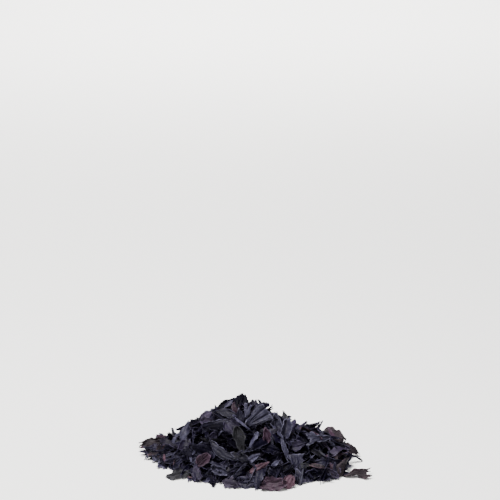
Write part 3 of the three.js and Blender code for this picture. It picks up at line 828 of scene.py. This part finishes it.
def pick_finish(draw, place, large=False):
    """A finish for one of the many flakes: black round the hollows as painted shade, browner and redder at
    the heap's ends.

    The large flakes are seldom pale, red or brown.
    """
    chosen = draw(0, 1) * (0.8 if large else 1)
    # Flakes round the hollows are made black as painted shade
    if in_hollow(place, grown=1.5) and draw(0, 1) < 0.85:
        return "black"
    if abs(place.x + 2) > ENDS_FROM and draw(0, 1) < (0.1 if large else 0.28):
        return "brown" if chosen < 0.6 else "burgundy" if chosen < 0.75 else "mauve"
    for finish, share in MANY:
        chosen -= share
        if chosen < 0:
            return finish
    return "slate"


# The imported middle

def add_core():
    """A round ball pressed into the heap's form, flat below, then crumpled on top."""
    bpy.ops.object.select_all(action="DESELECT")
    bpy.ops.mesh.primitive_ico_sphere_add(subdivisions=6, radius=1)
    core = bpy.context.object
    mesh = core.data
    top = core.vertex_groups.new(name="top")
    for vertex in mesh.vertices:
        p = vertex.co
        angle = math.atan2(p.y, p.x)
        share = math.acos(min(1, abs(p.z))) / (math.pi / 2)
        r = share * (heap_reach(angle) - CORE_INSET)
        x, y = r * math.cos(angle), r * math.sin(angle)
        height = max(CORE_UNDER, heap_height(x, y) - CORE_DEPTH - CORE_COVER)
        if in_hollow(Vector((x, y, height)), grown=1.2):
            height -= min(DEEPEST_HOLLOW, 0.55 * height)
        vertex.co = Vector((x, y, height if p.z > 0 else CORE_UNDER)) * MM
        top.add([vertex.index], 1.0 if p.z > 0.05 else 0.0, "REPLACE")
    for size, height in FOLDS:
        folds = bpy.data.textures.new("folds", "VORONOI")
        folds.noise_scale = size * MM
        folds.distance_metric = "DISTANCE"
        crumpled = core.modifiers.new("crumpled", "DISPLACE")
        crumpled.texture = folds
        crumpled.texture_coords = "LOCAL"
        crumpled.vertex_group = "top"
        crumpled.strength = height * MM
        crumpled.mid_level = 0.5
        bpy.ops.object.modifier_apply(modifier="crumpled")
    bpy.ops.object.shade_smooth_by_angle(angle=math.radians(30))
    core.name = "packed_middle"
    return core


# Materials

def new_material(name):
    material = bpy.data.materials.new(name)
    material.use_nodes = True
    return material, material.node_tree


def fill(tree, target, inputs):
    """Gives the inputs of a node their values, or links them where another node's output is given."""
    for key, given in inputs.items():
        if isinstance(given, bpy.types.NodeSocket):
            tree.links.new(given, target.inputs[key])
        else:
            target.inputs[key].default_value = given


def node(tree, kind, inputs=None, **settings):
    """A new node of a kind, with its settings and inputs."""
    made = tree.nodes.new(kind)
    for key, value in settings.items():
        setattr(made, key, value)
    fill(tree, made, inputs or {})
    return made


def clouded(tree, place, scale, detail, roughness=0.5):
    """Soft noise, by place."""
    inputs = {"Vector": place, "Scale": scale, "Detail": detail, "Roughness": roughness}
    return node(tree, "ShaderNodeTexNoise", inputs).outputs["Fac"]


def coloured(tree, value, stops):
    """The colour at a value, between stops that each have a place and a colour."""
    ramp = node(tree, "ShaderNodeValToRGB", {"Fac": value})
    elements = ramp.color_ramp.elements
    while len(elements) < len(stops):
        elements.new(0.5)
    for element, (place, colour) in zip(elements, stops):
        element.position = place
        element.color = (*colour, 1)
    return ramp.outputs["Color"]


def ranged(tree, value, low=0.0, high=1.0, least=0.0, most=1.0):
    """The least where the value is at or below low, and the most where it is at or above high."""
    inputs = {"Value": value, "From Min": low, "From Max": high, "To Min": least, "To Max": most}
    return node(tree, "ShaderNodeMapRange", inputs).outputs["Result"]


def reckoned(tree, operation, *values):
    """The result of a sum of numbers and other nodes' outputs."""
    return node(tree, "ShaderNodeMath", dict(enumerate(values)), operation=operation).outputs[0]


def overlaid(tree, share, below, above):
    """A colour with a share of another laid over it."""
    inputs = {"Factor": share, "A": below, "B": above}
    return node(tree, "ShaderNodeMix", inputs, data_type="RGBA").outputs["Result"]


def weed(name, middle, dark, light, roughness):
    """Dried weed: clouds of colour, veins along the flake, dusty salt specks and a thin light edge that is a
    painted highlight.
    """
    material, tree = new_material(f"{name}_weed")
    place = node(tree, "ShaderNodeTexCoord").outputs["Object"]
    vein = node(tree, "ShaderNodeAttribute", attribute_name="vein").outputs["Vector"]
    tone = node(tree, "ShaderNodeAttribute", attribute_name="tone").outputs["Fac"]
    edge = node(tree, "ShaderNodeAttribute", attribute_name="edge").outputs["Fac"]

    clouds = clouded(tree, place, scale=260, detail=5, roughness=0.62)
    colour = coloured(tree, clouds, [(0.3, dark), (0.52, middle), (0.74, light)])

    stretched = node(tree, "ShaderNodeMapping", {"Vector": vein, "Scale": (1.5, 0.12, 1)})
    veins = clouded(tree, stretched.outputs["Vector"], scale=1, detail=3, roughness=0.65)
    toned = reckoned(tree, "MULTIPLY", reckoned(tree, "MULTIPLY_ADD", veins, 2.8, -0.52), tone)
    shaded = node(tree, "ShaderNodeVectorMath", {0: colour, "Scale": toned}, operation="SCALE")

    # A painted highlight lightens the edge in parts of its length
    rim = ranged(tree, edge, low=0.87, most=0.85)
    parts = ranged(tree, clouds, low=0.4, high=0.62)
    edge_highlight = EDGE_HIGHLIGHTS.get(name, USUAL_EDGE_HIGHLIGHT)
    edge_highlight_colour = (*(1.3 * light[k] + edge_highlight[k] for k in range(3)), 1)
    edge_highlighted = overlaid(tree, reckoned(tree, "MULTIPLY", rim, parts), shaded.outputs["Vector"], edge_highlight_colour)

    specks = ranged(tree, clouded(tree, place, scale=2600, detail=2), low=0.66, high=0.76, most=0.32)
    salted = overlaid(tree, specks, edge_highlighted, (*SALT, 1))
    worn = ranged(tree, clouds, least=roughness - 0.1, most=roughness + 0.16)

    cells = {"Vector": place, "Scale": 650}
    wrinkles = node(tree, "ShaderNodeTexVoronoi", cells, feature="DISTANCE_TO_EDGE")
    heights = reckoned(tree, "ADD", wrinkles.outputs["Distance"], veins)
    bump = node(tree, "ShaderNodeBump", {"Strength": 0.55, "Distance": 0.0005, "Height": heights})
    fill(tree, tree.nodes["Principled BSDF"], {
        "Base Color": salted,
        "Roughness": worn,
        "Normal": bump.outputs["Normal"],
        "Specular IOR Level": 0.04 if name == "black" else 0.1,
    })
    return material


def packed_weed_painted_shade():
    """The weed deep in the heap, painted near-black as painted shade."""
    material, tree = new_material("packed_weed_painted_shade")
    place = node(tree, "ShaderNodeTexCoord").outputs["Object"]
    clouds = clouded(tree, place, scale=420, detail=6)
    colour = coloured(tree, clouds, [(0.35, (0.001, 0.0005, 0.0036)), (0.75, (0.0056, 0.004, 0.0125))])
    bump = node(tree, "ShaderNodeBump", {"Strength": 0.6, "Distance": 0.0008, "Height": clouds})
    fill(tree, tree.nodes["Principled BSDF"], {
        "Base Color": colour,
        "Normal": bump.outputs["Normal"],
        "Roughness": 0.7,
        "Specular IOR Level": 0.03,
    })
    return material


def pale_table():
    material, tree = new_material("pale_table")
    fill(tree, tree.nodes["Principled BSDF"], {"Base Color": (0.95, 0.95, 0.95, 1), "Roughness": 0.8})
    return material


# The heap is built

MATERIALS = {name: weed(name, *values) for name, values in FINISHES.items()}
singles = [single_flake(given, order) for order, given in enumerate(SINGLES)]
crest_flakes = [single_flake(given, order) for order, given in enumerate(CREST_FLAKES)]
tones = Draw(TONE_SEED)

for f in singles + crest_flakes:
    flake = add_flake(f, *single_grid(f), FLAKE_THICKNESS, SINGLE_DETAIL)
    keep_off_table(flake.data)
    give_tone(flake.data, f["tone"] * tones(0.75, 1.05))
    has_node = f["name"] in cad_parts
    piece = join_flakes(f["name"] + "_torn", [flake])
    piece.data.materials.append(MATERIALS[f["finish"]])
    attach(piece, "root")
    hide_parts(f["name"] if has_node else "flake_bed")

groups = {name: [] for name, _ in MANY}
choose = Draw(FINISH_SEED)
for f in bed_flakes(singles):
    flake = add_flake(f, *BED_GRID, FLAKE_THICKNESS)
    keep_off_table(flake.data)
    give_tone(flake.data, choose(0.45, 1.05))
    groups[pick_finish(choose, f["middle"], large=True)].append(flake)

for f in stray_flakes(singles):
    flake = add_flake(f, *STRAY_GRID, FLAKE_THICKNESS)
    keep_off_table(flake.data)
    give_tone(flake.data, choose(0.4, 1.1))
    groups[pick_finish(choose, f["middle"])].append(flake)

templates = shred_templates()
draw = Draw(SHRED_SEED)
for i in range(SHREDS):
    x, y = spiral_place(i, SHREDS, 1.04)
    f = rooted_flake(x, y, shred_shape(draw, grain(x, y)))
    deep = in_hollow(f["middle"], grown=0.95)
    if deep and draw(0, 1) < 0.75 or in_gap(x, y) or on_single(f["middle"], singles):
        continue
    shred = copy_shred(templates[i % TEMPLATES], f, draw)
    # Shreds deep in the hollows are darkened by half as painted shade
    give_tone(shred.data, draw(0.35, 1.2) * (0.5 if deep else 1))
    groups[pick_finish(draw, f["middle"])].append(shred)

# Long narrow strands that cross the others
for i in range(STRANDS):
    x, y = spiral_place(i + 0.6, STRANDS, 0.85)
    f = rooted_flake(x, y, strand_shape(draw, grain(x, y)))
    if in_gap(x, y) or any(on_single(sheet_point(f, 0, v), singles) for v in (0, 0.5, 1)):
        continue
    strand = add_flake(f, *STRAND_GRID, FLAKE_THICKNESS, STRAND_DETAIL)
    keep_off_table(strand.data)
    give_tone(strand.data, draw(0.7, 1.5))
    chosen = draw(0, 1)
    groups["black" if chosen < 0.45 else "slate" if chosen < 0.75 else "pale"].append(strand)

# Thin light threads and edges of sheets that lie on top
for i in range(THREADS):
    x, y = spiral_place(i + 0.2, THREADS, 0.95)
    f = rooted_flake(x, y, thread_shape(draw, grain(x, y)))
    covers = on_single(f["middle"], singles, grown=0.8)
    if covers or in_hollow(f["middle"], grown=0.8) or in_gap(x, y):
        continue
    thread = copy_shred(templates[2 + 6 * (i % 3)], f, draw)
    give_tone(thread.data, draw(0.7, 1.5))
    groups["pale" if draw(0, 1) < 0.6 else "slate"].append(thread)

for finish, flakes in groups.items():
    piece = join_flakes(f"{finish}_flakes", flakes)
    piece.data.materials.append(MATERIALS[finish])
    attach(piece, "root")
    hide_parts("flake_bed")

# Flakes pressed flat against the table
under = []
for i in range(UNDER_FLAKES):
    x, y = spiral_place(i, UNDER_FLAKES, 0.97)
    heading = draw(0, 2 * math.pi)
    f = dict(
        length=draw(7, 13), width=draw(4.5, 8), phase=draw(0, 6), middle=Vector((x, y, draw(0.5, 0.8))),
        axis=Vector((math.cos(heading), math.sin(heading), 0)), face=Vector((0, 0, -0.15)),
        side=Vector((math.sin(heading), -math.cos(heading), 0)),
    )
    flake = copy_shred(templates[(i * 5) % TEMPLATES], f, draw)
    co = places_of(flake.data)
    co[:, 2] = np.clip(co[:, 2], UNDER_FROM * MM, UNDER_TO * MM)
    flake.data.vertices.foreach_set("co", co.ravel())
    give_tone(flake.data, draw(0.6, 1.3))
    under.append(flake)
piece = join_flakes("under_flakes", under)
piece.data.materials.append(MATERIALS["slate"])
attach(piece, "root")
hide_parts("flake_bed")

core = add_core()
# The packed middle is painted near-black as painted shade
core.data.materials.append(packed_weed_painted_shade())
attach(core, "root")
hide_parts("flake_bed")

for template in templates:
    bpy.data.objects.remove(template)


# Table, light and camera
bpy.ops.object.select_all(action="DESELECT")
bpy.ops.mesh.primitive_plane_add(size=8, location=(0, 0, 0))
table = bpy.context.object
table.name = "table"
table.data.materials.append(pale_table())

world = bpy.context.scene.world or bpy.data.worlds.new("studio")
bpy.context.scene.world = world
world.use_nodes = True
fill(world.node_tree, world.node_tree.nodes["Background"], {"Color": (0.8, 0.82, 1, 1), "Strength": 0.1})


def add_softbox(name, place, target, size, power, spread=180):
    """A square soft light that faces the target."""
    bpy.ops.object.light_add(type="AREA", location=place)
    light = bpy.context.object
    light.name = name
    light.data.shape = "SQUARE"
    light.data.size = size
    light.data.energy = power
    light.data.color = (1, 0.985, 0.955)
    light.data.spread = math.radians(spread)
    light.rotation_euler = (Vector(target) - Vector(place)).to_track_quat("-Z", "Y").to_euler()


HEAP = (0, 0, 0.01)
add_softbox("top_softbox", (-0.3, -0.05, 1.1), HEAP, size=0.6, power=48)
add_softbox("front_softbox", (0.45, -0.9, 0.7), HEAP, size=0.6, power=5)
add_softbox("backdrop_softbox", (0, 1.3, 1.1), (0, 1.3, 0), size=1.2, power=21, spread=60)

DISTANCE = 0.8
SENSOR = 36
PICTURE = 500  # pixels across
FRAME_WIDTH = 0.2389  # what the picture takes in across, at the heap
HEAP_BELOW = 211 / PICTURE * FRAME_WIDTH  # the heap's origin lies this far below the picture's middle
HEAP_RIGHT = 4 / PICTURE * FRAME_WIDTH  # and this far to its right
down = SIGHT_ELEVATION - math.atan(HEAP_BELOW / DISTANCE)
bpy.ops.object.camera_add(
    location=(-HEAP_RIGHT, -DISTANCE * math.cos(SIGHT_ELEVATION), DISTANCE * math.sin(SIGHT_ELEVATION)),
    rotation=(math.pi / 2 - down, 0, 0),
)
camera = bpy.context.object
camera.data.sensor_width = SENSOR
camera.data.lens = SENSOR * DISTANCE / FRAME_WIDTH * math.cos(SIGHT_ELEVATION - down)
camera.data.clip_start = 0.01
bpy.context.scene.camera = camera
